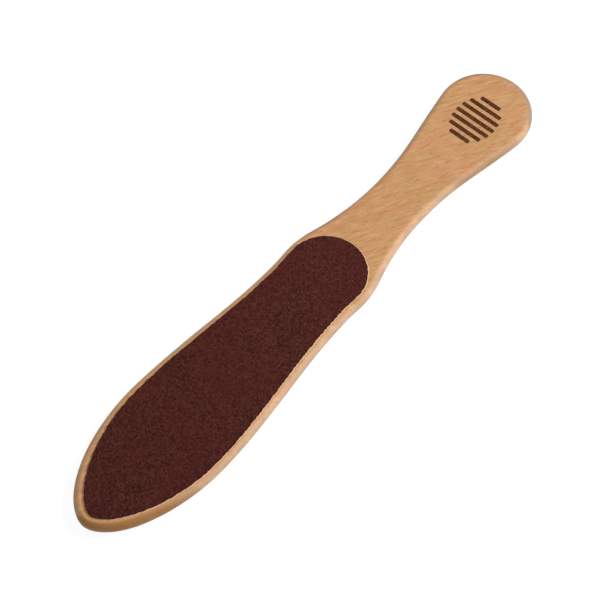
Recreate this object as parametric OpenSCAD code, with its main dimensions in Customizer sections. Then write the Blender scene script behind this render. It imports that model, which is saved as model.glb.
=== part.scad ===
// Foot file: one flat wooden paddle with a laminated abrasive sheet glued to each face of its
// head, coarse above and fine below. All lengths are millimetres. The file lies flat along X,
// tip towards -X and handle towards +X, with its origin under the middle of its whole length.

/* [Board] */
// Thickness of the wooden board
board_t = 6; // [5.4:0.1:9]
// Radius of the rounding that runs all the way round both faces
edge_r = 2.6; // [0.6:0.1:2.6]

/* [Head] */
// Length from the tip to the widest place of the head
tip_to_head = 52; // [44:0.5:64]
// Greatest width of the head
head_w = 49.6; // [44:0.2:60]
// Fullness of the tip along the board, where 2 is an ellipse
tip_along = 1.9; // [1.7:0.05:2.5]
// Fullness of the tip across the board, where 2 is an ellipse
tip_across = 1.82; // [1.7:0.02:2.5]

/* [Waist and shoulder] */
// Length from the widest place of the head to the waist
head_to_waist = 79.6; // [60:0.2:100]
// Width of the waist
waist_w = 38; // [32:0.2:44]
// Length from the waist to the shoulder
waist_to_shoulder = 8.8; // [5:0.2:16]
// Width of the shoulder
shoulder_w = 38.9; // [36:0.1:46]

/* [Handle] */
// Length from the shoulder to the neck
shoulder_to_neck = 46.2; // [38:0.2:60]
// Width of the neck, the narrowest place
neck_w = 24.6; // [18:0.2:29]
// Length from the neck to the end of the handle
neck_to_end = 73.4; // [62:0.2:90]
// Width of the round end of the handle
end_w = 39.2; // [34:0.2:46]
// Roundness of the shoulder, as a share of the bend from shoulder to neck
shoulder_share = 0.26; // [0.1:0.01:0.6]
// Hollowness of the neck, as a share of the fullest hollow that meets the round end
neck_share = 0.72; // [0.4:0.01:0.95]

/* [Abrasive sheets] */
// Flat wood left between the edge rounding and the long side of a sheet
side_margin = 0.1; // [0:0.1:3]
// Flat wood left between the edge rounding and the tip of a sheet
tip_margin = 1.1; // [0.5:0.1:5]
// Fullness of a sheet's tip across the board, where 2 is an ellipse
sheet_across = 1.6; // [1.5:0.02:1.8]
// Thickness of the glue film under a sheet
glue_t = 0.1; // [0.05:0.01:0.3]
// Thickness of the waterproof backing paper
paper_t = 0.2; // [0.1:0.01:0.5]

/* [Coarse face] */
// Thickness of the resin that bonds the coarse grain
coarse_resin_t = 0.1; // [0.05:0.01:0.3]
// Height of the coarse grain above its resin
coarse_grain_t = 0.25; // [0.1:0.01:0.6]

/* [Fine face] */
// Thickness of the resin that bonds the fine grain
fine_resin_t = 0.06; // [0.03:0.01:0.2]
// Height of the fine grain below its resin
fine_grain_t = 0.12; // [0.05:0.01:0.3]

/* [Printed mark] */
// Number of bars in the mark that tells the coarse face by sight
mark_bars = 7; // [3:1:9]
// Width of one bar
bar_w = 1.8; // [0.8:0.1:2.2]
// Gap between two bars
bar_gap = 1.6; // [0.8:0.1:2]
// Length of the longest bar
mark_w = 19; // [10:0.5:24]
// Distance from the middle of the mark to the end of the handle
mark_to_end = 25.5; // [22:0.5:40]
// Thickness of the ink
ink_t = 0.05; // [0.02:0.01:0.1]

/* [Smoothness] */
// Points along each quarter of the tip and of a round end
round_steps = 24; // [12:1:36]
// Points along the stretch from the head to the waist
long_steps = 16; // [8:1:24]
// Points along each shorter bend
bend_steps = 8; // [4:2:12]
// Steps up each edge rounding
edge_steps = 5; // [3:1:8]

/* [Hidden] */

// Stations along the board, measured from the tip
waist_x = tip_to_head + head_to_waist;
shoulder_x = waist_x + waist_to_shoulder;
neck_x = shoulder_x + shoulder_to_neck;
board_len = neck_x + neck_to_end;

// The layers from the ground up
fine_resin_z = fine_grain_t;
fine_paper_z = fine_resin_z + fine_resin_t;
fine_glue_z = fine_paper_z + paper_t;
board_z = fine_glue_z + glue_t;
coarse_glue_z = board_z + board_t;
coarse_paper_z = coarse_glue_z + glue_t;
coarse_resin_z = coarse_paper_z + paper_t;
coarse_grain_z = coarse_resin_z + coarse_resin_t;

// The shoulder and the hollow below it are two arcs that touch
shoulder_drop = (shoulder_w - neck_w) / 2;
bend_r = (pow(shoulder_to_neck, 2) + pow(shoulder_drop, 2)) / (2 * shoulder_drop);
shoulder_r = bend_r * shoulder_share;
hollow_r = bend_r - shoulder_r;
bend_turn = asin(shoulder_to_neck / bend_r);

// The neck is one arc, and a straight side joins it to the round end
end_r = end_w / 2;
end_x = board_len - end_r;
neck_run = end_x - neck_x;
fullest_r = (pow(neck_run, 2) - pow(end_r, 2) + pow(neck_w / 2, 2)) / (end_w - neck_w);
neck_r = fullest_r * neck_share;
neck_rise = neck_w / 2 + neck_r;
neck_turn = atan2(neck_run, neck_rise) - acos((neck_r + end_r) / norm([neck_run, neck_rise]));

// Rims of bare wood round a sheet, which ends in a half circle at the shoulder
side_rim = edge_r + side_margin;
tip_rim = edge_r + tip_margin;
sheet_end_r = shoulder_w / 2 - side_rim;

// A quarter of a superellipse, from a tip at station x to half width w, without its last point
function tip_curve(x, length, w, along, across) = [
    for (i = [0 : round_steps - 1])
        let (a = 90 * i / round_steps)
        [x + length * (1 - pow(cos(a), 2 / along)), w * pow(sin(a), 2 / across)]
];

// Half a cosine wave from half width w0 at station x0 to w1 at x1, without its last point
function ease(x0, w0, x1, w1, steps) = [
    for (i = [0 : steps - 1])
        let (t = i / steps)
        [x0 + (x1 - x0) * t, w0 + (w1 - w0) * (1 - cos(180 * t)) / 2]
];

// An arc about a centre, from angle a0 to a1, without its last point
function arc(centre, r, a0, a1, steps) = [
    for (i = [0 : steps - 1])
        let (a = a0 + (a1 - a0) * i / steps)
        centre + r * [cos(a), sin(a)]
];

// Half the board's outline as [station, half width], from the tip to the end of the handle
board_half = concat(
    tip_curve(0, tip_to_head, head_w / 2, tip_along, tip_across),
    ease(tip_to_head, head_w / 2, waist_x, waist_w / 2, long_steps),
    ease(waist_x, waist_w / 2, shoulder_x, shoulder_w / 2, bend_steps / 2),
    arc([shoulder_x, shoulder_w / 2 - shoulder_r], shoulder_r, 90, 90 - bend_turn, bend_steps),
    arc([neck_x, neck_w / 2 + hollow_r], hollow_r, 270 - bend_turn, 270, bend_steps),
    arc([neck_x, neck_rise], neck_r, 270, 270 + neck_turn, bend_steps),
    [[neck_x + neck_r * sin(neck_turn), neck_rise - neck_r * cos(neck_turn)]],
    arc([end_x, 0], end_r, 90 + neck_turn, 0, round_steps),
    [[board_len, 0]]
);

// Half the outline that both sheets are cut to
sheet_half = concat(
    tip_curve(tip_rim, tip_to_head - tip_rim, head_w / 2 - side_rim, tip_along, sheet_across),
    ease(tip_to_head, head_w / 2 - side_rim, waist_x, waist_w / 2 - side_rim, long_steps),
    ease(waist_x, waist_w / 2 - side_rim, shoulder_x, sheet_end_r, bend_steps / 2),
    arc([shoulder_x, 0], sheet_end_r, 90, 0, round_steps),
    [[shoulder_x + sheet_end_r, 0]]
);

// A closed outline from its half, both sides of the X axis, counter-clockwise
function both_sides(half) = concat(
    [for (p = half) [p.x, -p.y]],
    [for (i = [len(half) - 2 : -1 : 1]) half[i]]
);

// The outward direction at one point of a closed counter-clockwise outline
function outward(points, i) =
    let (n = len(points), along = points[(i + 1) % n] - points[(i + n - 1) % n])
    [along.y, -along.x] / norm(along);

// Triangles over a closed outline of n points that is symmetric about the X axis: narrow strips
// across it, from each point of one side to its mirror image
function strips(n) = [
    for (i = [0 : n / 2 - 1])
        each concat(
            i < n / 2 - 1 ? [[i, i + 1, n - i - 1]] : [],
            i > 0 ? [[i, n - i - 1, n - i]] : []
        )
];

// A flat board with the given outline, its edges rounded to radius r above and below
module rounded_board(outline, t, r) {
    n = len(outline);
    out = [for (i = [0 : n - 1]) outward(outline, i)];
    turns = [for (i = [0 : edge_steps]) 90 * i / edge_steps];
    levels = concat(
        [for (a = turns) [r * (1 - sin(a)), r * (1 - cos(a))]],
        [for (a = turns) [r * (1 - cos(a)), t - r * (1 - sin(a))]]
    );
    last = len(levels) - 1;
    points = [for (level = levels, i = [0 : n - 1])
        let (p = outline[i] - out[i] * level[0]) [p.x, p.y, level[1]]];
    sides = [for (k = [0 : last - 1], i = [0 : n - 1])
        let (j = (i + 1) % n, low = k * n, high = low + n)
        each [[low + i, high + i, high + j], [low + i, high + j, low + j]]];
    bottom = strips(n);
    top = [for (f = bottom) [last * n + f[2], last * n + f[1], last * n + f[0]]];
    polyhedron(points, concat(bottom, sides, top), convexity = 4);
}

// Moves a piece from the tip's own stations to the model's origin, at height z
module place(z) {
    translate([-board_len / 2, 0, z]) children();
}

// One layer of a sheet, at height z
module sheet_layer(z, t) {
    place(z) linear_extrude(t) polygon(both_sides(sheet_half));
}

module wood_paddle() {
    color("#c9966a") place(board_z) rounded_board(both_sides(board_half), board_t, edge_r);
}

module coarse_glue_film() {
    color("#c8a878") sheet_layer(coarse_glue_z, glue_t);
}

module coarse_backing_paper() {
    color("#8a5f4c") sheet_layer(coarse_paper_z, paper_t);
}

module coarse_resin_coat() {
    color("#5a2f28") sheet_layer(coarse_resin_z, coarse_resin_t);
}

module coarse_grain() {
    color("#4a2521") sheet_layer(coarse_grain_z, coarse_grain_t);
}

module fine_glue_film() {
    color("#c8a878") sheet_layer(fine_glue_z, glue_t);
}

module fine_backing_paper() {
    color("#8a5f4c") sheet_layer(fine_paper_z, paper_t);
}

module fine_resin_coat() {
    color("#5a2f28") sheet_layer(fine_resin_z, fine_resin_t);
}

module fine_grain() {
    color("#57302a") sheet_layer(0, fine_grain_t);
}

// Ink bars across the handle, whose lengths follow an ellipse
module coarse_side_mark() {
    pitch = bar_w + bar_gap;
    mark_len = mark_bars * pitch;
    color("#4b2a20")
        for (i = [0 : mark_bars - 1]) {
            x = (i - (mark_bars - 1) / 2) * pitch;
            bar_len = mark_w * sqrt(1 - pow(2 * x / mark_len, 2));
            translate([board_len / 2 - mark_to_end + x - bar_w / 2, -bar_len / 2, coarse_glue_z])
                cube([bar_w, bar_len, ink_t]);
        }
}

wood_paddle();
coarse_glue_film();
coarse_backing_paper();
coarse_resin_coat();
coarse_grain();
fine_glue_film();
fine_backing_paper();
fine_resin_coat();
fine_grain();
coarse_side_mark();
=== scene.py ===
import math
from collections import namedtuple

import bmesh
import bpy
import numpy as np
from mathutils import Matrix, Vector


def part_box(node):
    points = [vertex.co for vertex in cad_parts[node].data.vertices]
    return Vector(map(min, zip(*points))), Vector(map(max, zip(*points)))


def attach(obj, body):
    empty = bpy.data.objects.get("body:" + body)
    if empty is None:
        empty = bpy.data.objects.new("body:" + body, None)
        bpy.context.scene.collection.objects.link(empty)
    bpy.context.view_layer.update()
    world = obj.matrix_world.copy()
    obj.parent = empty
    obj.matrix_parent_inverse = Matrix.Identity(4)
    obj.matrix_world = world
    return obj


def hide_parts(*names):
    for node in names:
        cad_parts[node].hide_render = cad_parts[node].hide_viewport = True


# A foot file: a flat beech paddle with an abrasive sheet glued to each face of its head, coarse
# above and fine below, and printed bars on the coarse side of the handle.
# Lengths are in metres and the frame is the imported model's: tip towards -X, handle towards +X.

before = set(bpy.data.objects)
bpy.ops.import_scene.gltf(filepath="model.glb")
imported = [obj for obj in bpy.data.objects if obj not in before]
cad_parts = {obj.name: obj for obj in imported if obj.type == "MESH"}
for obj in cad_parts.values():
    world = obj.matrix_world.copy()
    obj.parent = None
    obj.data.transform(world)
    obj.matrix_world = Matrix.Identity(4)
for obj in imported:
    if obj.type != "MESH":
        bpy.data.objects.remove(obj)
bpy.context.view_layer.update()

MM = 0.001
BODY = "root"
TOUCH = 0.01 * MM          # corners of a CAD mesh that are nearer than this are one corner
WELD = 0.001 * MM          # corners of a new mesh that are nearer than this become one
SHARP = 0.6                # radians past which an edge of a smooth piece stays sharp

# The camera, as the photograph's
VIEW_AZIMUTH = -136.63     # degrees round Z from +X to the camera
VIEW_ELEVATION = 59.765
VIEW_ROLL = -3.227
VIEW_DISTANCE = 1.0
VIEW_DEPTH = 100           # how many times nearer or farther than that the camera still sees
LENS = 153.24              # millimetres, on the sensor's width
SENSOR_WIDTH = 36.0
IMAGE_SIZE = 600
BOARD_CENTRE_PIXEL = (307.77, 290.07)   # where the middle of the board's upper face shows

# Light
SKY_STRENGTH = 0.3         # the even light from all round
KEY_AZIMUTH = -32.0        # degrees round Z from +X to the key lamp
KEY_ELEVATION = 38.0
KEY_DISTANCE = 3.0
KEY_SIZE = 1.3
KEY_WATTS = 101.0
FLOOR_SIZE = 6.0
FLOOR_GLOW = 0.93          # how brightly the floor glows by itself where it is seen directly
FLOOR_WHITE = 0.14         # how white it is there to the light on it, for a faint shadow
FLOOR_BOUNCE = 0.95        # how white it is to the light that it sends back

# Colours are as a screen shows them, red, green and blue from 0 to 255. Between a value that the
# screen shows, from 0 to 1, and the light that it gives, the rule is a straight line up to a knee
# and a power above it.
WHITE = (255, 255, 255)
SCREEN_KNEE, SCREEN_LINE = 0.04045, 12.92
SCREEN_LIFT, SCREEN_POWER = 0.055, 2.4

# A Cloud is a noise whose clouds lie size apart and whose values lie about one half. Its mask
# begins at one of these values and is full at another. A Mark is a cloud drawn out along the
# fibres, with the colour that it lays over what is under it, up to a share. A FINISH holds what
# is set straight on the shader's inputs, the same all over a piece.
Cloud =namedtuple("Cloud", "size detail begins full")
Mark = namedtuple("Mark", "length width detail begins full share colour")

# Beech
FIBRE_ANGLE = math.radians(-29.7)      # direction of the fibres in the board, from +X
SWAY = 6 * MM                          # how far the fibres sway sideways, and over what lengths
SWAY_LENGTH, SWAY_WIDTH = 55 * MM, 22 * MM
SWAY_DETAIL = 1
BEECH_GROUND = (197, 149, 94)
BEECH_MARKS = {
    "rosy_cloud": Mark(15 * MM, 4.2 * MM, 3, 0.4, 0.6, 1.0, (202, 144, 97)),
    "deep_cloud": Mark(22 * MM, 9 * MM, 2, 0.45, 0.65, 0.3, (184, 129, 78)),
    "pale_streak": Mark(6 * MM, 1.3 * MM, 2, 0.5, 0.72, 0.6, (214, 167, 119)),
    "dark_streak": Mark(6 * MM, 1.3 * MM, 2, 0.5, 0.3, 0.6, (176, 122, 73)),
    "thread": Mark(2.4 * MM, 0.3 * MM, 2, 0.5, 0.75, 0.18, (172, 118, 70)),
    "fleck": Mark(2.1 * MM, 0.5 * MM, 1, 0.63, 0.71, 0.6, (146, 96, 54)),
    "pore": Mark(0.7 * MM, 0.12 * MM, 1, 0.62, 0.74, 0.3, (140, 92, 56)),
}
BEECH_RELIEF = 0.012 * MM
BEECH_ROUGHNESS = (0.66, 0.54)         # as sanded, and where it is worn
BEECH_FINISH = {"Specular IOR Level": 0.5, "Coat Weight": 0.08, "Coat Roughness": 0.5}
BEECH_WEAR = 6.25 * MM                 # size of the worn patches
SIDE_PAINTED_HIGHLIGHT = (214, 184, 156)            # painted highlight: the rounded side made paler, for the white floor's reflection on it
SIDE_HIGHLIGHT_BEGINS, SIDE_HIGHLIGHT_FULL = 0.2, 0.9      # how far out on a rounded edge that begins and is full
SIDE_HIGHLIGHT_SHARE = 0.5
END_DOT = Cloud(0.26 * MM, 2, 0.4, 0.68)   # the cut vessels in the end grain
# painted shade with end grain: the tip's rounded side darker golden brown where the key lamp
# doesn't reach, dotted with cut vessels
SHADED_END_PALE = (172, 113, 30)
SHADED_END_DARK = (126, 76, 8)
SHADED_END_SHARE = 0.9
SOIL = (138, 116, 98)
SOIL_SHARE = 0.25
PAINTED_END_SHADE = (112, 94, 80)                # painted shade: the rim round the handle's end greyed, for its far edge in shade
PAINTED_END_SHADE_SHARE = 0.65
ROUND_FULL = 0.5           # how far out on a rounded edge the ends' colours are full, as a share
# Where the tip's end grain and its painted shade lie, and where painted shade greys the rim round
# the handle's end: the direction of the band's middle in degrees from +X, and how far round from
# there it is full and ends
TIP_END_AND_SHADE = (-152, 33, 58)
HANDLE_SHADE_BAND = (4, 62, 82)

# Wear, as the values of its noise at which its masks begin and are full
WEAR_DETAIL = 3
WORN = (0.35, 0.7)
SOILED = (0.62, 0.4)

# Ink
INK_DARK = (64, 30, 8)
INK_PALE = (86, 47, 20)
INK_BLOT = Cloud(1.1 * MM, 3, 0.3, 0.7)
INK_THIN = (0.6, 0.75)     # the blots' values between which the ink thins
INK_THIN_SHARE = 0.35      # how far the beech shows through there, and over its pores
INK_PORE_SHARE = 0.6
INK_ROUGHNESS = (0.6, 0.75)
INK_FINISH = {"Specular IOR Level": 0.12}
INK_RELIEF = 0.008 * MM

# Glue, paper and resin
# the glue's pale colour is a painted highlight along the sheet's edge
GLUE_PAINTED_HIGHLIGHT = (240, 200, 166)
GLUE_RUN = Cloud(1.4 * MM, 2, 0.2, 0.5)
GLUE_SHARE = (0.3, 0.6)    # how far the glue hides the beech where it is thin and where it is thick
GLUE_ROUGHNESS = (0.5, 0.65)
GLUE_FINISH = {"Specular IOR Level": 0.4}
GLUE_RELIEF = 0.015 * MM
PAPER_DARK = (98, 56, 42)
PAPER_PALE = (132, 84, 62)
PAPER_WORN = (164, 120, 92)
PAPER_WORN_SHARE = 0.5
PAPER_WEAR = 1.1 * MM
PAPER_FIBRE = Cloud(0.38 * MM, 4, 0.3, 0.7)
PAPER_ROUGHNESS = (0.8, 0.95)
PAPER_FINISH = {"Specular IOR Level": 0.25}
PAPER_RELIEF = 0.03 * MM
RESIN_COLOURS = {"Deep": (44, 16, 13), "Pale": (78, 38, 31), "Warm": (70, 25, 26)}
RESIN_TONE = 0.3           # how far the resin is from its deep colour to its pale one
RESIN_RIPPLE = Cloud(0.67 * MM, 2, 0.3, 0.7)
RESIN_ROUGHNESS = (0.25, 0.4)
RESIN_FINISH = {"Specular IOR Level": 0.3, "Coat Weight": 0.3, "Coat Roughness": 0.15}
RESIN_RELIEF = 0.015 * MM

# Grit
COARSE_GRIT = {"Deep": (27, 2, 0), "Pale": (96, 48, 38), "Warm": (79, 25, 26)}
FINE_GRIT = {"Deep": (58, 24, 18), "Pale": (116, 66, 54), "Warm": (100, 44, 40)}
GRIT_PATCH = Cloud(20 * MM, 2, 0.38, 0.62)
GRIT_CLUSTER = Cloud(1.1 * MM, 2, 0.32, 0.68)
GRIT_SPECK = Cloud(0.3 * MM, 1, 0.6, 0.76)
GRIT_CRUMB, GRIT_CRUMB_DETAIL = 0.11 * MM, 2
CLUSTER_SHARE = 0.5        # how much of a grain's tone comes from its cluster
GRIT_PAINTED_LIGHT_DRIFT = 0.07          # painted light: tone lost from a sheet's middle to its tip, and gained to its round end
WARM_SHARE = 0.35
GLINT, GLINT_SHARE = (150, 92, 80), 0.4
BORDER, BORDER_SHARE = (30, 9, 7), 0.75
GRIT_ROUGHNESS = (0.62, 0.42)   # of the deepest and of the palest grain
GRIT_FINISH = {"Specular IOR Level": 0.06}
GRIT_RELIEF = 0.03 * MM

# The board's mesh
BOARD_STATIONS = 460       # loops along the board
CORNER_STEPS = 12          # steps round each rounded edge
FACE_COLUMNS = 28          # columns across each face
SANDING_STEP = 11 * MM     # length over which the hand-sanded edge wanders, and how far it does
SANDING = 0.05 * MM

# The two sheets' meshes
SHEET_STATIONS = 700       # loops along each layer, and columns across each of its faces
SHEET_COLUMNS = 12
RAGGED_STEP = 0.75 * MM    # length over which the cut long sides wander, and how far they do
RAGGED = 0.2 * MM
RAGGED_FADE = 7 * MM       # the wander fades where the sheet's half width is less than this
SHEET_TURN = 0.00506       # radians by which the coarse sheet lies askew
SHEET_PIVOT = -50 * MM     # where along the board it does so
SHEET_SHIFT = -0.28 * MM   # how far the coarse sheet lies to one side
GLUE_SPREAD = 0.32 * MM    # how far the glue film shows beside a sheet
GLUE_STEP = 3.1 * MM       # length over which the film's edge wanders, and how far it does
GLUE_WANDER = 0.12 * MM
PAPER_BEVEL = 0.03 * MM    # width of the bevels on the paper's cut edge
RESIN_INSET = 0.05 * MM    # how far the resin's edge draws back
BEAD_STEPS = 3             # steps round the glue's bead and round the resin's edge

# The grains
COARSE_CELL = 0.31 * MM    # spacing of the grains on each sheet
FINE_CELL = 0.31 * MM
COARSE_LOWEST = 0.25       # height of the lowest grain, as a share of the layer
FINE_LOWEST = 0.3
CELL_JITTER = 0.36         # share of a cell by which a grain lies off its place
LOW_GRAINS = 1.3           # exponent on the grains' random heights, above 1 for more low ones
EVEN_CHANCE = 0.5          # a cell is split as often along one diagonal as along the other
BORDER_WIDTH = 0.5 * MM    # width of the band that darkens towards a sheet's edge
PROUD_COUNT = 6500
PROUD_DRAWN = 2 * PROUD_COUNT   # places drawn for the proud grains, as some miss the sheet
PROUD_SIZE = (0.10 * MM, 0.21 * MM)     # from a proud grain's middle out, the least and the most
PROUD_STRETCH = (0.7, 1.25)     # how far out it reaches along its three axes, as shares of that
PROUD_ROUGH = (0.82, 1.12)      # how far out its corners lie, as shares of those
PROUD_SEAT = (0.35, 0.75)       # height of its middle, as a share of the layer
PROUD_BORDER = 0.35 * MM   # proud grains keep this far from the sheet's edge
PROUD_UNDER = 0.1 * MM     # how far they reach below the layer and above it
PROUD_OVER = 0.08 * MM

# The printed bars' mesh
BAR_POINTS = 120           # corners round a bar, and rings from its middle to its edge
BAR_RINGS = 4
BAR_SQUARENESS = 9.0       # exponent of the superellipse, where 2 is an ellipse
BAR_RAGGED = 0.035 * MM    # how far the ink's edge is off the superellipse

# Seeds of the random draws
SANDING_SEEDS = (11, 12)
COARSE_SEED = 21           # for the wander of a sheet's +Y side, with the next one for its -Y side
FINE_SEED = 24
GLUE_SEEDS = (31, 32)
BAR_SEED = 41
COARSE_GRAIN_SEED, PROUD_SEED, FINE_GRAIN_SEED = 51, 52, 53


def direction(azimuth, elevation):
    """The direction at an azimuth round Z from +X and an elevation above the floor, in degrees."""
    round_z, above = math.radians(azimuth), math.radians(elevation)
    return Vector((
        math.cos(above) * math.cos(round_z),
        math.cos(above) * math.sin(round_z),
        math.sin(above),
    ))


def aim(thing, place, right, up, back):
    """Puts a camera or a lamp at a place, with its own axes along right, up and back."""
    thing.location = place
    thing.rotation_mode = "QUATERNION"
    axes = Matrix((right.normalized(), up.normalized(), back.normalized()))
    thing.rotation_quaternion = axes.transposed().to_quaternion()


def level_axes(back):
    """Right and up for a view whose back points along back, with up as near to Z as it can be."""
    right = Vector((0, 0, 1)).cross(back).normalized()
    return right, back.cross(right)


def make_camera(target):
    """The photograph's camera: target shows at BOARD_CENTRE_PIXEL, and the frame isn't shifted."""
    back = direction(VIEW_AZIMUTH, VIEW_ELEVATION)
    level_right, level_up = level_axes(back)
    roll = math.radians(VIEW_ROLL)
    right = level_right * math.cos(roll) + level_up * math.sin(roll)
    up = back.cross(right)
    pixel = VIEW_DISTANCE * SENSOR_WIDTH / (LENS * IMAGE_SIZE)
    middle = (IMAGE_SIZE - 1) / 2
    across = (middle - BOARD_CENTRE_PIXEL[0]) * pixel
    above = (BOARD_CENTRE_PIXEL[1] - middle) * pixel
    data = bpy.data.cameras.new("photo_camera")
    data.lens = LENS
    data.sensor_width = SENSOR_WIDTH
    data.clip_start = VIEW_DISTANCE / VIEW_DEPTH
    data.clip_end = VIEW_DISTANCE * VIEW_DEPTH
    camera = bpy.data.objects.new("photo_camera", data)
    bpy.context.scene.collection.objects.link(camera)
    aim(camera, target + back * VIEW_DISTANCE + right * across + up * above, right, up, back)
    bpy.context.scene.camera = camera


def make_lamp(name, azimuth, elevation, distance, size, watts):
    """A square soft lamp that faces the origin, under the board's middle."""
    data = bpy.data.lights.new(name, "AREA")
    data.shape = "SQUARE"
    data.size = size
    data.energy = watts
    lamp = bpy.data.objects.new(name, data)
    bpy.context.scene.collection.objects.link(lamp)
    back = direction(azimuth, elevation)
    right, up = level_axes(back)
    aim(lamp, back * distance, right, up, back)


# Shader helpers

VECTOR, FLOAT, COLOUR = "NodeSocketVector", "NodeSocketFloat", "NodeSocketColor"


def linear(colour, level=1.0):
    """A colour as a screen shows it, as the linear colour that the shaders take, times a level.
    The screen's own rule is a straight line for the darkest values and a power above them."""
    shown = np.array(colour) / WHITE
    power = ((shown + SCREEN_LIFT) / (1 + SCREEN_LIFT)) ** SCREEN_POWER
    light = np.where(shown <= SCREEN_KNEE, shown / SCREEN_LINE, power)
    return (*(light * level).tolist(), 1.0)


def plug(tree, target, value):
    """Links an input to a socket, or sets it to a value. A colour's value is as a screen shows
    it."""
    if isinstance(value, bpy.types.NodeSocket):
        tree.links.new(value, target)
    elif target.type == "RGBA":
        target.default_value = linear(value)
    else:
        target.default_value = value


def add_node(tree, kind, inputs=None, **settings):
    """A new node. settings are its own properties, and inputs are by name or place."""
    node = tree.nodes.new(kind)
    for title, value in settings.items():
        setattr(node, title, value)
    for title, value in (inputs or {}).items():
        plug(tree, node.inputs[title], value)
    return node


def maths(tree, operation, *values, clamp=False):
    """One step of arithmetic on numbers."""
    inputs = dict(enumerate(values))
    node = add_node(tree, "ShaderNodeMath", inputs, operation=operation, use_clamp=clamp)
    return node.outputs[0]


def vector_maths(tree, operation, *values):
    """One step of arithmetic on vectors."""
    inputs = dict(enumerate(values))
    return add_node(tree, "ShaderNodeVectorMath", inputs, operation=operation).outputs[0]


def blend(tree, factor, first, second):
    """Two colours mixed, the first where the factor is 0 and the second where it is 1. The node
    has several sockets of one name, so they go by place: its colours are inputs 6 and 7 and
    output 2."""
    inputs = {0: factor, 6: first, 7: second}
    return add_node(tree, "ShaderNodeMix", inputs, data_type="RGBA").outputs[2]


def veil(tree, under, mask, over, share):
    """A colour laid over another where a mask is 1, up to a share of its full strength."""
    return blend(tree, maths(tree, "MULTIPLY", mask, share), under, over)


def span(tree, value, begins, full, low=0.0, high=1.0):
    """What runs smoothly from low, where a value is at begins, to high, where it is at full."""
    inputs = {"Value": value, "From Min": begins, "From Max": full, "To Min": low, "To Max": high}
    node = add_node(tree, "ShaderNodeMapRange", inputs, interpolation_type="SMOOTHSTEP")
    return node.outputs["Result"]


def noise(tree, place, size, detail):
    """Cloudy values about one half, whose clouds lie size apart."""
    inputs = {"Vector": place, "Scale": 1 / size, "Detail": detail}
    return add_node(tree, "ShaderNodeTexNoise", inputs).outputs["Fac"]


def cloud_mask(tree, place, cloud):
    """A cloud's mask."""
    return span(tree, noise(tree, place, cloud.size, cloud.detail), cloud.begins, cloud.full)


def drawn_noise(tree, fibres, length, width, detail):
    """A noise drawn out to length in X and to width in Y and Z."""
    place = vector_maths(tree, "DIVIDE", fibres, (length, width, width))
    return noise(tree, place, 1.0, detail)


def relief(tree, height, distance):
    """The surface's normal, tilted by a height, of which 1 stands for distance metres."""
    inputs = {"Height": height, "Distance": distance}
    return add_node(tree, "ShaderNodeBump", inputs).outputs["Normal"]


def object_place(tree):
    """The place on the piece, in the frame's own metres."""
    return add_node(tree, "ShaderNodeTexCoord").outputs["Object"]


def attribute(tree, name):
    """A value that the mesh carries."""
    return add_node(tree, "ShaderNodeAttribute", attribute_name=name).outputs["Fac"]


def deliver(tree, target, **sockets):
    """Links each socket to the input of its name, in which _ stands for a space."""
    for title, socket in sockets.items():
        tree.links.new(socket, target.inputs[title.replace("_", " ")])


def new_group(name, inputs, outputs):
    """An empty node group with named sockets, given as names and kinds, and its input sockets and
    output node."""
    group = bpy.data.node_groups.new(name, "ShaderNodeTree")
    for title, kind in inputs.items():
        group.interface.new_socket(title, in_out="INPUT", socket_type=kind)
    for title, kind in outputs.items():
        group.interface.new_socket(title, in_out="OUTPUT", socket_type=kind)
    return group, group.nodes.new("NodeGroupInput").outputs, group.nodes.new("NodeGroupOutput")


def new_material(name, finish):
    """A material with a Principled BSDF, and the inputs that finish names set to its values."""
    material = bpy.data.materials.new(name)
    material.use_nodes = True
    tree = material.node_tree
    shader = tree.nodes["Principled BSDF"]
    for title, value in finish.items():
        shader.inputs[title].default_value = value
    return material, tree, shader


# Effects that several materials share

def beech_figure_group():
    """Beech cut along its fibres: soft golden and pinkish clouds, streaks, fine threads, short
    dark flecks and tiny pores, one over the other and all drawn out along fibres that sway."""
    group, given, out = new_group(
        "beech_figure", {"Position": VECTOR}, {"Colour": COLOUR, "Height": FLOAT, "Pores": FLOAT}
    )
    inputs = {"Vector": given["Position"], "Angle": -FIBRE_ANGLE}
    turned = add_node(group, "ShaderNodeVectorRotate", inputs, rotation_type="Z_AXIS").outputs[0]
    sway = drawn_noise(group, turned, SWAY_LENGTH, SWAY_WIDTH, SWAY_DETAIL)
    sideways = add_node(group, "ShaderNodeCombineXYZ", {"Y": maths(group, "MULTIPLY", sway, SWAY)})
    fibres = vector_maths(group, "ADD", turned, sideways.outputs[0])
    colour = BEECH_GROUND
    masks = {}
    for title, mark in BEECH_MARKS.items():
        drawn = drawn_noise(group, fibres, mark.length, mark.width, mark.detail)
        masks[title] = span(group, drawn, mark.begins, mark.full)
        colour = veil(group, colour, masks[title], mark.colour, mark.share)
    hollows = maths(group, "ADD", masks["pore"], masks["fleck"])
    height = maths(group, "SUBTRACT", masks["thread"], hollows)
    deliver(group, out, Colour=colour, Height=height, Pores=masks["pore"])
    return group


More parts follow.
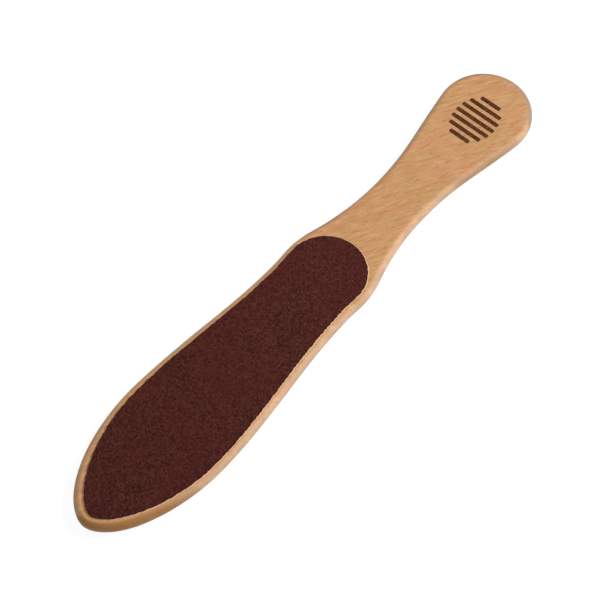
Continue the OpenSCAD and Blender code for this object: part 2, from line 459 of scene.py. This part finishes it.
def grit_group():
    """Crushed mineral in dark resin: each grain and each cluster of grains has a tone of its own,
    and a painted light gradient makes all grow paler evenly along the sheet from its tip. Over
    these lie wide warm patches, pinpoint glints, a dark border, and crumbs of relief. Both sheets
    have one outline, so the coarse one's middle and end serve for the two."""
    group, given, out = new_group(
        "grit",
        {"Position": VECTOR, "Tone": FLOAT, "Border": FLOAT,
         "Deep": COLOUR, "Pale": COLOUR, "Warm": COLOUR},
        {"Colour": COLOUR, "Roughness": FLOAT, "Height": FLOAT},
    )
    place = given["Position"]
    clusters = maths(group, "MULTIPLY", cloud_mask(group, place, GRIT_CLUSTER), CLUSTER_SHARE)
    own_tone = maths(group, "MULTIPLY", given["Tone"], 1 - CLUSTER_SHARE)
    tone = maths(group, "ADD", own_tone, clusters)
    sheet_low, sheet_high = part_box("coarse_grain")
    # painted light: the tone grows paler along the sheet from its tip to its round end
    middle = (sheet_low.x + sheet_high.x) / 2
    along = add_node(group, "ShaderNodeSeparateXYZ", {"Vector": place}).outputs["X"]
    from_middle = maths(group, "SUBTRACT", along, middle)
    painted_light_drift = maths(group, "MULTIPLY", from_middle, GRIT_PAINTED_LIGHT_DRIFT / (sheet_high.x - middle))
    tone = maths(group, "ADD", tone, painted_light_drift)
    colour = blend(group, tone, given["Deep"], given["Pale"])
    patches = cloud_mask(group, place, GRIT_PATCH)
    colour = veil(group, colour, patches, given["Warm"], WARM_SHARE)
    specks = cloud_mask(group, place, GRIT_SPECK)
    colour = veil(group, colour, specks, GLINT, GLINT_SHARE)
    colour = veil(group, colour, given["Border"], BORDER, BORDER_SHARE)
    roughness = span(group, given["Tone"], 0, 1, *GRIT_ROUGHNESS)
    crumbs = noise(group, place, GRIT_CRUMB, GRIT_CRUMB_DETAIL)
    deliver(group, out, Colour=colour, Roughness=roughness, Height=crumbs)
    return group


def wear_group():
    """Handling: masks of soft rubbed patches and of soiled ones, both strongest where Edge is 1.
    Size is how far apart the patches lie, in metres."""
    group, given, out = new_group(
        "wear", {"Position": VECTOR, "Edge": FLOAT, "Size": FLOAT}, {"Worn": FLOAT, "Soiled": FLOAT}
    )
    place = vector_maths(group, "DIVIDE", given["Position"], given["Size"])
    cloud = noise(group, place, 1.0, WEAR_DETAIL)
    worn = maths(group, "MULTIPLY", span(group, cloud, *WORN), given["Edge"], clamp=True)
    soiled = maths(group, "MULTIPLY", span(group, cloud, *SOILED), given["Edge"], clamp=True)
    deliver(group, out, Worn=worn, Soiled=soiled)
    return group


GROUPS = {"beech": beech_figure_group(), "grit": grit_group(), "wear": wear_group()}


def place_group(tree, name, **inputs):
    """A shared group in a material, with the material's own values, as its output sockets."""
    node = tree.nodes.new("ShaderNodeGroup")
    node.node_tree = GROUPS[name]
    for title, value in inputs.items():
        plug(tree, node.inputs[title], value)
    return node.outputs


# Materials

def beech_material():
    """Sanded beech under a thin satin oil finish. Its rounded side is painted paler as a painted
    highlight for the white floor's reflection. The tip's end grain is brown and dotted, and
    darkened with painted shade. It is greyed by hands in patches, and greyed with painted shade all
    round the handle's end."""
    material, tree, shader = new_material("beech", BEECH_FINISH)
    place = object_place(tree)
    side = attribute(tree, "side")
    figure = place_group(tree, "beech", Position=place)
    wear = place_group(tree, "wear", Position=place, Edge=side, Size=BEECH_WEAR)
    # painted highlight: the rounded side paler, for the white floor's reflection on it
    painted_side_highlight = span(tree, side, SIDE_HIGHLIGHT_BEGINS, SIDE_HIGHLIGHT_FULL)
    colour = veil(tree, figure["Colour"], painted_side_highlight, SIDE_PAINTED_HIGHLIGHT, SIDE_HIGHLIGHT_SHARE)
    # painted shade with the tip's end grain: darker golden brown on the tip's unlit side
    ends = span(tree, attribute(tree, "end_grain_and_shade"), 0, ROUND_FULL)
    shaded_end_colour = blend(tree, cloud_mask(tree, place, END_DOT), SHADED_END_PALE, SHADED_END_DARK)
    colour = veil(tree, colour, ends, shaded_end_colour, SHADED_END_SHARE)
    colour = veil(tree, colour, wear["Soiled"], SOIL, SOIL_SHARE)
    # painted shade: the rim round the handle's end greyed, for its far edge in shade
    handle_shade = span(tree, attribute(tree, "handle_shade"), 0, ROUND_FULL)
    colour = veil(tree, colour, handle_shade, PAINTED_END_SHADE, PAINTED_END_SHADE_SHARE)
    deliver(
        tree, shader, Base_Color=colour, Roughness=span(tree, wear["Worn"], 0, 1, *BEECH_ROUGHNESS),
        Normal=relief(tree, figure["Height"], BEECH_RELIEF),
    )
    return material


def ink_material():
    """Dark brown stamp ink: matt, blotchy, and thin over the pores, where the beech shows."""
    material, tree, shader = new_material("ink", INK_FINISH)
    place = object_place(tree)
    figure = place_group(tree, "beech", Position=place)
    blots = noise(tree, place, INK_BLOT.size, INK_BLOT.detail)
    faded = span(tree, blots, INK_BLOT.begins, INK_BLOT.full)
    over_pores = maths(tree, "MULTIPLY", figure["Pores"], INK_PORE_SHARE)
    thin = maths(tree, "MAXIMUM", over_pores, span(tree, blots, *INK_THIN, 0, INK_THIN_SHARE))
    colour = blend(tree, thin, blend(tree, faded, INK_DARK, INK_PALE), figure["Colour"])
    deliver(
        tree, shader, Base_Color=colour, Roughness=span(tree, faded, 0, 1, *INK_ROUGHNESS),
        Normal=relief(tree, figure["Height"], INK_RELIEF),
    )
    return material


def glue_material():
    """A clear glue film over beech, whose pale colour is a painted highlight that rims the sheet.
    """
    material, tree, shader = new_material("glue", GLUE_FINISH)
    place = object_place(tree)
    figure = place_group(tree, "beech", Position=place)
    runs = cloud_mask(tree, place, GLUE_RUN)
    hidden = span(tree, runs, 0, 1, *GLUE_SHARE)
    deliver(
        tree, shader, Base_Color=blend(tree, hidden, figure["Colour"], GLUE_PAINTED_HIGHLIGHT),
        Roughness=span(tree, runs, 0, 1, *GLUE_ROUGHNESS), Normal=relief(tree, runs, GLUE_RELIEF),
    )
    return material


def paper_material():
    """The cut edge of waterproof brown paper, with its fibres, rubbed paler in places."""
    material, tree, shader = new_material("backing_paper", PAPER_FINISH)
    place = object_place(tree)
    fibres = cloud_mask(tree, place, PAPER_FIBRE)
    wear = place_group(tree, "wear", Position=place, Edge=1.0, Size=PAPER_WEAR)
    colour = blend(tree, fibres, PAPER_DARK, PAPER_PALE)
    colour = veil(tree, colour, wear["Worn"], PAPER_WORN, PAPER_WORN_SHARE)
    deliver(
        tree, shader, Base_Color=colour, Roughness=span(tree, fibres, 0, 1, *PAPER_ROUGHNESS),
        Normal=relief(tree, fibres, PAPER_RELIEF),
    )
    return material


def resin_material():
    """Hard dark resin between the grains, glossy with fine ripples."""
    material, tree, shader = new_material("resin", RESIN_FINISH)
    place = object_place(tree)
    grit = place_group(tree, "grit", Position=place, Tone=RESIN_TONE, Border=0.0, **RESIN_COLOURS)
    ripples = cloud_mask(tree, place, RESIN_RIPPLE)
    deliver(
        tree, shader, Base_Color=grit["Colour"],
        Roughness=span(tree, ripples, 0, 1, *RESIN_ROUGHNESS),
        Normal=relief(tree, ripples, RESIN_RELIEF),
    )
    return material


def grit_material(name, colours):
    """Matt mineral grains, with the tone and the border that the mesh carries."""
    material, tree, shader = new_material(name, GRIT_FINISH)
    grit = place_group(
        tree, "grit", Position=object_place(tree), Tone=attribute(tree, "tone"),
        Border=attribute(tree, "border"), **colours,
    )
    deliver(
        tree, shader, Base_Color=grit["Colour"], Roughness=grit["Roughness"],
        Normal=relief(tree, grit["Height"], GRIT_RELIEF),
    )
    return material


MATERIALS = {
    "beech": beech_material(),
    "ink": ink_material(),
    "glue": glue_material(),
    "backing_paper": paper_material(),
    "resin": resin_material(),
    "coarse_grit": grit_material("coarse_grit", COARSE_GRIT),
    "fine_grit": grit_material("fine_grit", FINE_GRIT),
}


# Meshes

def make_piece(name, slot, points, faces, values=None, stands_for=None, smooth=False):
    """A piece from whole arrays: corners that coincide become one, faces turn outwards, and the
    piece gets its material, its body, its slot and the node that it stands for. values are
    numbers for each corner."""
    mesh = bpy.data.meshes.new(name)
    mesh.from_pydata(points.reshape(-1, 3).tolist(), [], faces.tolist())
    for title, numbers in (values or {}).items():
        layer = mesh.attributes.new(title, "FLOAT", "POINT")
        layer.data.foreach_set("value", numbers.astype(np.float32).ravel())
    sculpt = bmesh.new()
    sculpt.from_mesh(mesh)
    bmesh.ops.remove_doubles(sculpt, verts=sculpt.verts, dist=WELD)
    bmesh.ops.recalc_face_normals(sculpt, faces=sculpt.faces)
    sculpt.to_mesh(mesh)
    sculpt.free()
    if smooth:
        mesh.shade_smooth()
        mesh.set_sharp_from_angle(angle=SHARP)
    mesh.materials.append(MATERIALS[slot])
    piece = bpy.data.objects.new(name, mesh)
    bpy.context.scene.collection.objects.link(piece)
    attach(piece, BODY)
    if stands_for:
        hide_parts(stands_for)


def ring_quads(rows, columns):
    """The quads of a grid of corners, row by row, whose last column joins its first."""
    row = np.arange(rows - 1)[:, None] * columns
    column = np.arange(columns)[None, :]
    beside = (column + 1) % columns
    corners = (row + column, row + beside, row + columns + beside, row + columns + column)
    return np.stack(corners, axis=-1).reshape(-1, 4)


def quarter_round(steps):
    """A quarter circle of radius 1, from its top down: how far out it has run, the sine of the
    angle, and its height, the cosine."""
    turn = np.linspace(0, math.pi / 2, steps + 1)
    return np.sin(turn), np.cos(turn)


def node_corners(name):
    """All corners of a CAD node's mesh."""
    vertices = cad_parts[name].data.vertices
    corners = np.empty(len(vertices) * 3, np.float32)
    vertices.foreach_get("co", corners)
    return corners.reshape(-1, 3).astype(float)


def half_outline(name):
    """The +Y half of a flat node's outline, as corners from the -X end to the +X end: those at
    the heights nearest its middle, in order of X, each once. Also how far those heights lie
    from the nearer face, which is the radius of a rounded edge."""
    corners = node_corners(name)
    off_middle = np.abs(corners[:, 2] - (corners[:, 2].min() + corners[:, 2].max()) / 2)
    widest = (off_middle < off_middle.min() + TOUCH) & (corners[:, 1] > -TOUCH)
    half = corners[widest][:, :2]
    half = half[np.argsort(half[:, 0])]
    apart = np.linalg.norm(np.diff(half, axis=0), axis=1) > TOUCH
    half = half[np.r_[True, apart]]
    half[[0, -1], 1] = 0
    return half, off_middle.max() - off_middle.min()


def smooth_outline(half, count):
    """count points spread evenly along a half outline, and the outward direction at each.
    Between two corners the curve is the cubic that has given slopes at both. A corner's slope is
    the mean of the directions of the chords that meet there, each weighted by the other's
    length, and past both ends the outline goes on as its mirror image."""
    mirror = np.array([1, -1])
    around = np.vstack([half[1] * mirror, half, half[-2] * mirror])
    chord = np.diff(around, axis=0)
    length = np.linalg.norm(chord, axis=1)[:, None]
    heading = chord / length
    slope = (heading[:-1] * length[1:] + heading[1:] * length[:-1]) / (length[:-1] + length[1:])
    run = length[1:-1, 0]
    start = np.r_[0, np.cumsum(run)]
    place = np.linspace(0, start[-1], count)
    k = np.clip(np.searchsorted(start, place, side="right") - 1, 0, len(run) - 1)
    t = ((place - start[k]) / run[k])[:, None]
    step = run[k][:, None]
    points = (
        (2 * t**3 - 3 * t**2 + 1) * half[k] + (t**3 - 2 * t**2 + t) * step * slope[k]
        + (3 * t**2 - 2 * t**3) * half[k + 1] + (t**3 - t**2) * step * slope[k + 1]
    )
    whole = np.vstack([points[1] * mirror, points, points[-2] * mirror])
    along = whole[2:] - whole[:-2]
    along /= np.linalg.norm(along, axis=1)[:, None]
    return points, np.stack([-along[:, 1], along[:, 0]], axis=1)


def wander(place, step, amount, seed):
    """A random wave along a line: heights drawn one step apart, up to amount either side of
    zero, and joined by half cosine waves."""
    draw = np.random.default_rng(seed)
    at = (place - place.min()) / step
    last = int(at.max()) + 1
    heights = draw.uniform(-amount, amount, last + 1)
    before = at.astype(int)
    share = (1 - np.cos(np.pi * (at - before))) / 2
    return heights[before] * (1 - share) + heights[before + 1] * share


def flat_piece(outline, outward, inset, share, height, wider):
    """Corners of a flat piece, one closed loop across it at each station of its outline. A
    loop's point lies in from the outline by its inset, against the outward direction, then at
    its share of the half width, from +1 on the +Y side to -1 on the -Y side, at its height.
    wider moves the +Y side and the -Y side outwards by amounts of their own."""
    x = outline[:, :1] - outward[:, :1] * inset
    half = outline[:, 1:] - outward[:, 1:] * inset
    plus, minus = (np.reshape(side, (-1, 1)) for side in wider)
    y = share * (half + np.where(share > 0, plus, minus))
    return np.stack([x, y, np.broadcast_to(height, x.shape)], axis=-1)


def loop_across(side_inset, side_height, columns):
    """One loop across a flat piece: down the +Y side, back under it, up the -Y side and over the
    top, as inset, share and height. The side's insets and heights run from its top down, and
    each face keeps the inset and the height of the side's corner that it meets."""
    under = np.linspace(1, -1, columns + 1)[1:-1]
    side = np.ones(len(side_inset))
    face = np.ones(len(under))
    share = np.concatenate([side, under, -side, -under])
    inset, height = (
        np.concatenate([down, face * down[-1], down[::-1], face * down[0]])
        for down in (side_inset, side_height)
    )
    return inset, share, height


def facing(outward, azimuth, full, ends):
    """How far outward directions face an azimuth: 1 up to full degrees off it, then evenly down
    to 0 at ends degrees off it."""
    toward = np.array([math.cos(math.radians(azimuth)), math.sin(math.radians(azimuth))])
    off = np.degrees(np.arccos(np.clip(outward @ toward, -1, 1)))
    return np.clip((ends - off) / (ends - full), 0, 1)


def make_paddle():
    """The beech board: its outline carries a side whose upper and lower edges are quarter
    circles, and its hand-sanded sides wander a little. Its three values grow from 0 on the faces
    to 1 on the outline. The first runs all round it and also places the side's painted highlight.
    The second lies at the tip's end grain and its painted shade. The third lies at the painted
    shade round the handle's end."""
    half, radius = half_outline("wood_paddle")
    outline, outward = smooth_outline(half, BOARD_STATIONS)
    low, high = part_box("wood_paddle")
    out, up = quarter_round(CORNER_STEPS)
    corner_inset = radius * (1 - out)
    drop = radius * (1 - up)
    inset, share, height = loop_across(
        np.concatenate([corner_inset, corner_inset[::-1]]),
        np.concatenate([high.z - drop, low.z + drop[::-1]]),
        FACE_COLUMNS,
    )
    x, half_width = outline.T
    fade = np.clip(half_width / radius, 0, 1)
    wider = [wander(x, SANDING_STEP, SANDING, seed) * fade for seed in SANDING_SEEDS]
    points = flat_piece(outline, outward, inset, share, height, wider)
    outerness = 1 - inset / radius
    both_sides = np.stack([np.ones(len(share)), np.sign(share)], axis=-1)
    around = outward[:, None] * both_sides
    values = {
        "side": np.broadcast_to(outerness, points.shape[:2]),
        "end_grain_and_shade": facing(around, *TIP_END_AND_SHADE) * outerness,
        "handle_shade": facing(around, *HANDLE_SHADE_BAND) * outerness,
    }
    faces = ring_quads(len(outline), len(inset))
    make_piece("beech_paddle", "beech", points, faces, values, "wood_paddle", smooth=True)


class Sheet:
    """An abrasive sheet on the coarse or the fine face: its smooth outline, the wander of its two
    long sides, which fades where the sheet is narrow, and how it lies on the board: whether it
    faces up, and how far it is turned and shifted. Its layers and its grains follow all these."""

    def __init__(self, face, up, seed, turn, shift):
        half, _ = half_outline(face + "_backing_paper")
        self.face, self.up, self.turn, self.shift = face, up, turn, shift
        self.outline, self.outward = smooth_outline(half, SHEET_STATIONS)
        self.x, self.half_width = self.outline.T
        self.fade = np.clip(self.half_width / RAGGED_FADE, 0, 1)
        self.wider = [self.side_wander(RAGGED_STEP, RAGGED, seed + side) for side in (0, 1)]

    def side_wander(self, step, amount, seed):
        """A random wave along one side, which fades where the sheet is narrow."""
        return wander(self.x, step, amount, seed) * self.fade

    def lay(self, points):
        """Points turned about the pivot on the board's middle line, then moved sideways."""
        x, y = points[..., 0] - SHEET_PIVOT, points[..., 1]
        cos, sin = math.cos(self.turn), math.sin(self.turn)
        turned = [SHEET_PIVOT + x * cos - y * sin, x * sin + y * cos + self.shift]
        return np.stack([*turned, points[..., 2]], axis=-1)

    def heights(self, node):
        """Heights of a layer's face towards the board and of its face away from it."""
        low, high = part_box(node)
        return (low.z, high.z) if self.up else (high.z, low.z)

    def add_layer(self, title, slot, part, inset, rise, wider):
        """One layer, for the CAD node that has part in its name. Its edge's profile runs from the
        face away from the board to the other one: how far in from the outline, and how high in
        the layer, as a share of its thickness."""
        node = f"{self.face}_{part}"
        inner, outer = self.heights(node)
        profile = [inset, inner + (outer - inner) * rise]
        down = profile if self.up else [numbers[::-1] for numbers in profile]
        loop = loop_across(*down, SHEET_COLUMNS)
        points = flat_piece(self.outline, self.outward, *loop, wider)
        faces = ring_quads(len(self.outline), len(loop[0]))
        name = f"{self.face}_{title}"
        make_piece(name, slot, self.lay(points), faces, stands_for=node, smooth=True)

    def add_layers(self):
        """The glue film, which shows beside the sheet as a thin bead of uneven width, the paper,
        cut square with narrow bevels, and the resin, whose edge draws back. The bead's and the
        resin's profiles are quarters of an ellipse."""
        out, rise = quarter_round(BEAD_STEPS)
        spread = [
            side + self.side_wander(GLUE_STEP, GLUE_WANDER, seed)
            for side, seed in zip(self.wider, GLUE_SEEDS)
        ]
        self.add_layer("glue_line", "glue", "glue_film", -GLUE_SPREAD * out, rise, spread)
        inner, outer = self.heights(self.face + "_backing_paper")
        bevel = PAPER_BEVEL / abs(outer - inner)
        cut_inset = np.array([PAPER_BEVEL, 0, 0, PAPER_BEVEL])
        cut_rise = np.array([1, 1 - bevel, bevel, 0])
        self.add_layer("paper", "backing_paper", "backing_paper", cut_inset, cut_rise, self.wider)
        self.add_layer("resin", "resin", "resin_coat", RESIN_INSET * (1 - out), rise, self.wider)

    def half_widths(self, x):
        """The sheet's half width at x on its +Y side and on its -Y side."""
        return [np.interp(x, self.x, self.half_width + wide) for wide in self.wider]

    def steepness(self, x):
        """How much longer the smooth outline is than its run along X, at each x of a row."""
        return np.hypot(1, np.gradient(np.interp(x, self.x, self.half_width), x))


def coat_triangles(number, slant):
    """The triangles of a closed coat on a grid of corner numbers: two for each cell, split along
    one diagonal where slant is true and along the other elsewhere, then a wall from each end of
    the grid's rows down to feet, and a base across them. The feet, two to a row, are numbered on
    from the grid's last corner. The grid may repeat a corner along a row, and triangles that
    have one twice are left out."""
    # a, b, c and d go round each cell.
    a, b = number[:-1, :-1], number[:-1, 1:]
    d, c = number[1:, :-1], number[1:, 1:]
    first_half = np.stack([a, b, np.where(slant, c, d)], axis=-1)
    second_half = np.stack([np.where(slant, a, b), c, d], axis=-1)
    edge = number[:, [0, -1]]
    foot = number.size + np.arange(edge.size).reshape(edge.shape)
    quads = np.concatenate([
        np.stack([edge[:-1, 0], foot[:-1, 0], foot[1:, 0], edge[1:, 0]], axis=-1),
        np.stack([edge[:-1, 1], edge[1:, 1], foot[1:, 1], foot[:-1, 1]], axis=-1),
        np.stack([foot[:-1, 0], foot[:-1, 1], foot[1:, 1], foot[1:, 0]], axis=-1),
    ])
    halves = [first_half.reshape(-1, 3), second_half.reshape(-1, 3)]
    triangles = np.concatenate([*halves, quads[:, [0, 1, 2]], quads[:, [0, 2, 3]]])
    repeats = (triangles == np.roll(triangles, 1, axis=1)).any(axis=1)
    return triangles[~repeats]


def grain_coat(sheet, slot, cell, lowest, seed):
    """The coat of grains: a square grid of corners, each off its place by a random share of a
    cell and at a random height in the layer, joined by flat triangles that split each cell along
    either diagonal. Corners outside the sheet are drawn in to its edge, and a wall and a flat
    base close the coat. Its values are a random tone on each corner, and a border that grows to
    1 on the sheet's edge."""
    draw = np.random.default_rng(seed)
    node = sheet.face + "_grain"
    base, top = sheet.heights(node)
    first, last = sheet.x[[0, -1]]
    x = np.linspace(first, last, int((last - first) / cell) + 1)[:, None]
    plus, minus = sheet.half_widths(x)
    reach = int(max(plus.max(), minus.max()) / cell) + 1
    steps = np.arange(-reach, reach + 1)
    # In each row the columns from least to most lie on the sheet, and those beyond repeat these
    # two. The corners on the edge and in the two end rows aren't free to leave their places.
    least =np.clip(np.rint(-minus / cell).astype(int), -reach, 0)
    most = np.clip(np.rint(plus / cell).astype(int), 0, reach)
    number = np.arange(len(x))[:, None] * len(steps) + np.clip(steps, least, most) + reach

    free = (steps > least) & (steps < most)
    free[[0, -1]] = False
    shift = draw.uniform(-CELL_JITTER, CELL_JITTER, (2, *number.shape)) * cell * free
    y = np.where(steps <= least, -minus, np.clip(steps * cell, -minus, plus))
    y = np.where(steps >= most, plus, y)
    rise = lowest + (1 - lowest) * draw.random(number.shape) ** LOW_GRAINS
    points = np.stack([x + shift[0], y + shift[1], base + (top - base) * rise], axis=-1)
    feet = points.reshape(-1, 3)[number[:, [0, -1]].ravel()] * [1, 1, 0] + [0, 0, base]
    slant = draw.random((number.shape[0] - 1, number.shape[1] - 1)) < EVEN_CHANCE
    triangles = coat_triangles(number, slant)

    to_edge = np.minimum(plus - y, y + minus) / sheet.steepness(x[:, 0])[:, None]
    border = np.clip(1 - to_edge / BORDER_WIDTH, 0, 1)
    values = {
        "tone": np.concatenate([draw.random(number.size), np.zeros(len(feet))]),
        "border": np.concatenate([border.ravel(), np.ones(len(feet))]),
    }
    used, faces = np.unique(triangles, return_inverse=True)
    corners = np.concatenate([points.reshape(-1, 3), feet])[used]
    values = {title: numbers[used] for title, numbers in values.items()}
    name = sheet.face + "_grit_coat"
    make_piece(name, slot, sheet.lay(corners), faces.reshape(-1, 3), values, node)


def icosahedron():
    """The 12 corners and 20 faces of an icosahedron of radius 1: the corners are all turns of
    (0, 1, golden ratio) with either sign."""
    golden = (1 + math.sqrt(5)) / 2
    corners = np.array([
        (-1, golden, 0), (1, golden, 0), (-1, -golden, 0), (1, -golden, 0),
        (0, -1, golden), (0, 1, golden), (0, -1, -golden), (0, 1, -golden),
        (golden, 0, -1), (golden, 0, 1), (-golden, 0, -1), (-golden, 0, 1),
    ]) / math.hypot(1, golden)
    faces = np.array([
        (0, 11, 5), (0, 5, 1), (0, 1, 7), (0, 7, 10), (0, 10, 11),
        (1, 5, 9), (5, 11, 4), (11, 10, 2), (10, 7, 6), (7, 1, 8),
        (3, 9, 4), (3, 4, 2), (3, 2, 6), (3, 6, 8), (3, 8, 9),
        (4, 9, 5), (2, 4, 11), (6, 2, 10), (8, 6, 7), (9, 8, 1),
    ])
    return corners, faces


def proud_grains(sheet, slot, seed):
    """Single grains that stand out of the coat: icosahedra whose corners lie in or out at random,
    with random lengths along three axes and turned at random, spread evenly over the sheet. The
    random turns are the orthogonal factors of random matrices."""
    draw = np.random.default_rng(seed)
    low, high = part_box(sheet.face + "_grain")
    x = draw.uniform(sheet.x[0], sheet.x[-1], PROUD_DRAWN)
    widest = sheet.half_width.max()
    y = draw.uniform(-widest, widest, PROUD_DRAWN)
    plus, minus = sheet.half_widths(x)
    clear = (y < plus - PROUD_BORDER) & (y > PROUD_BORDER - minus)
    x, y = x[clear][:PROUD_COUNT], y[clear][:PROUD_COUNT]
    count = len(x)
    lump, lump_faces = icosahedron()
    lengths = draw.uniform(*PROUD_SIZE, (count, 1)) * draw.uniform(*PROUD_STRETCH, (count, 3))
    turns, _ = np.linalg.qr(draw.normal(size=(count, 3, 3)))
    rough = lump * draw.uniform(*PROUD_ROUGH, (count, len(lump), 1))
    shaped = np.einsum("nij,nkj->nki", turns, rough * lengths[:, None])
    z = low.z + draw.uniform(*PROUD_SEAT, count) * (high.z - low.z)
    points = (shaped + np.stack([x, y, z], axis=-1)[:, None]).reshape(-1, 3)
    points[:, 2] = np.clip(points[:, 2], low.z - PROUD_UNDER, high.z + PROUD_OVER)
    faces = (np.arange(count)[:, None, None] * len(lump) + lump_faces).reshape(-1, 3)
    values = {"tone": np.repeat(draw.random(count), len(lump)), "border": np.zeros(len(points))}
    make_piece(sheet.face + "_proud_grains", slot, sheet.lay(points), faces, values)


def make_bars():
    """The printed bars: each is a thin slab whose outline is a superellipse as long and wide as
    the bar, with a ragged edge. Rings share out the way from its middle to its edge."""
    corners = node_corners("coarse_side_mark")
    low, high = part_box("coarse_side_mark")
    # The bars lie one behind the other along X, so the places of their edges come in pairs. A
    # bar's half length is the greatest Y of the corners on its first edge.
    edges = np.unique(np.round(corners[:, 0] / TOUCH)) * TOUCH
    spans =edges.reshape(-1, 2)
    beside = np.abs(corners[:, :1] - spans[:, 0]) < TOUCH
    half_length = np.where(beside, corners[:, 1:2], 0).max(axis=0)
    middle, half_width = spans.mean(axis=1), np.diff(spans, axis=1)[:, 0] / 2

    draw = np.random.default_rng(BAR_SEED)
    angle = np.arange(BAR_POINTS) * 2 * math.pi / BAR_POINTS
    unit = np.stack([np.cos(angle), np.sin(angle)], axis=-1)
    unit = np.sign(unit) * np.abs(unit) ** (2 / BAR_SQUARENESS)
    halves = np.stack([half_width, half_length], axis=-1)
    rim = halves[:, None] * unit + draw.uniform(-BAR_RAGGED, BAR_RAGGED, (len(spans), *unit.shape))
    outwards = np.linspace(0, 1, BAR_RINGS + 1)
    reach = np.concatenate([outwards, outwards[::-1]])
    level = np.repeat([high.z, low.z], len(outwards))
    x = reach[:, None] * rim[:, None, :, 0] + middle[:, None, None]
    y = reach[:, None] * rim[:, None, :, 1]
    points = np.stack([x, y, np.broadcast_to(level[:, None], x.shape)], axis=-1)
    first = np.arange(len(spans))[:, None, None] * x[0].size
    faces = (first + ring_quads(len(reach), BAR_POINTS)).reshape(-1, 4)
    make_piece("printed_bars", "ink", points, faces, stands_for="coarse_side_mark")


# The stage

def seen_directly(tree):
    """1 for the camera's rays, for reflections and for what shows through glass, else 0."""
    rays = add_node(tree, "ShaderNodeLightPath").outputs
    eye = maths(tree, "ADD", rays["Is Camera Ray"], rays["Is Glossy Ray"])
    return maths(tree, "ADD", eye, rays["Is Transmission Ray"], clamp=True)


def make_floor():
    """The floor. Seen directly it glows nearly white and is lit a little, so that it keeps a
    faint shadow. To other light it is plain white."""
    half = FLOOR_SIZE / 2
    mesh = bpy.data.meshes.new("floor")
    corners = [(-half, -half, 0), (half, -half, 0), (half, half, 0), (-half, half, 0)]
    mesh.from_pydata(corners, [], [(0, 1, 2, 3)])
    floor = bpy.data.objects.new("floor", mesh)
    bpy.context.scene.collection.objects.link(floor)
    material = bpy.data.materials.new("floor")
    material.use_nodes = True
    tree = material.node_tree
    tree.nodes.clear()
    lit = add_node(tree, "ShaderNodeBsdfDiffuse")
    lit.inputs["Color"].default_value = linear(WHITE, FLOOR_BOUNCE)
    seen = add_node(tree, "ShaderNodeBsdfDiffuse")
    seen.inputs["Color"].default_value = linear(WHITE, FLOOR_WHITE)
    glow = add_node(tree, "ShaderNodeEmission", {"Color": WHITE, "Strength": FLOOR_GLOW})
    shown = add_node(tree, "ShaderNodeAddShader", {0: seen.outputs[0], 1: glow.outputs[0]})
    inputs = {0: seen_directly(tree), 1: lit.outputs[0], 2: shown.outputs[0]}
    mixed = add_node(tree, "ShaderNodeMixShader", inputs)
    add_node(tree, "ShaderNodeOutputMaterial", {"Surface": mixed.outputs[0]})
    mesh.materials.append(material)


def make_world():
    """The studio all round: even light, which is white where it is seen directly."""
    world = bpy.data.worlds.new("studio")
    bpy.context.scene.world = world
    world.use_nodes = True
    tree = world.node_tree
    background = tree.nodes["Background"]
    plug(tree, background.inputs["Color"], WHITE)
    strength = span(tree, seen_directly(tree), 0, 1, SKY_STRENGTH, 1)
    plug(tree, background.inputs["Strength"], strength)


bpy.context.scene.view_settings.view_transform = "Standard"
_, board_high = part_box("wood_paddle")
make_camera(Vector((0, 0, board_high.z)))
make_floor()
make_world()
make_lamp("key_lamp", KEY_AZIMUTH, KEY_ELEVATION, KEY_DISTANCE, KEY_SIZE, KEY_WATTS)
make_paddle()

coarse = Sheet("coarse", up=True, seed=COARSE_SEED, turn=SHEET_TURN, shift=SHEET_SHIFT)
coarse.add_layers()
grain_coat(coarse, "coarse_grit", COARSE_CELL, COARSE_LOWEST, COARSE_GRAIN_SEED)
proud_grains(coarse, "coarse_grit", PROUD_SEED)

fine = Sheet("fine", up=False, seed=FINE_SEED, turn=0, shift=0)
fine.add_layers()
grain_coat(fine, "fine_grit", FINE_CELL, FINE_LOWEST, FINE_GRAIN_SEED)

make_bars()
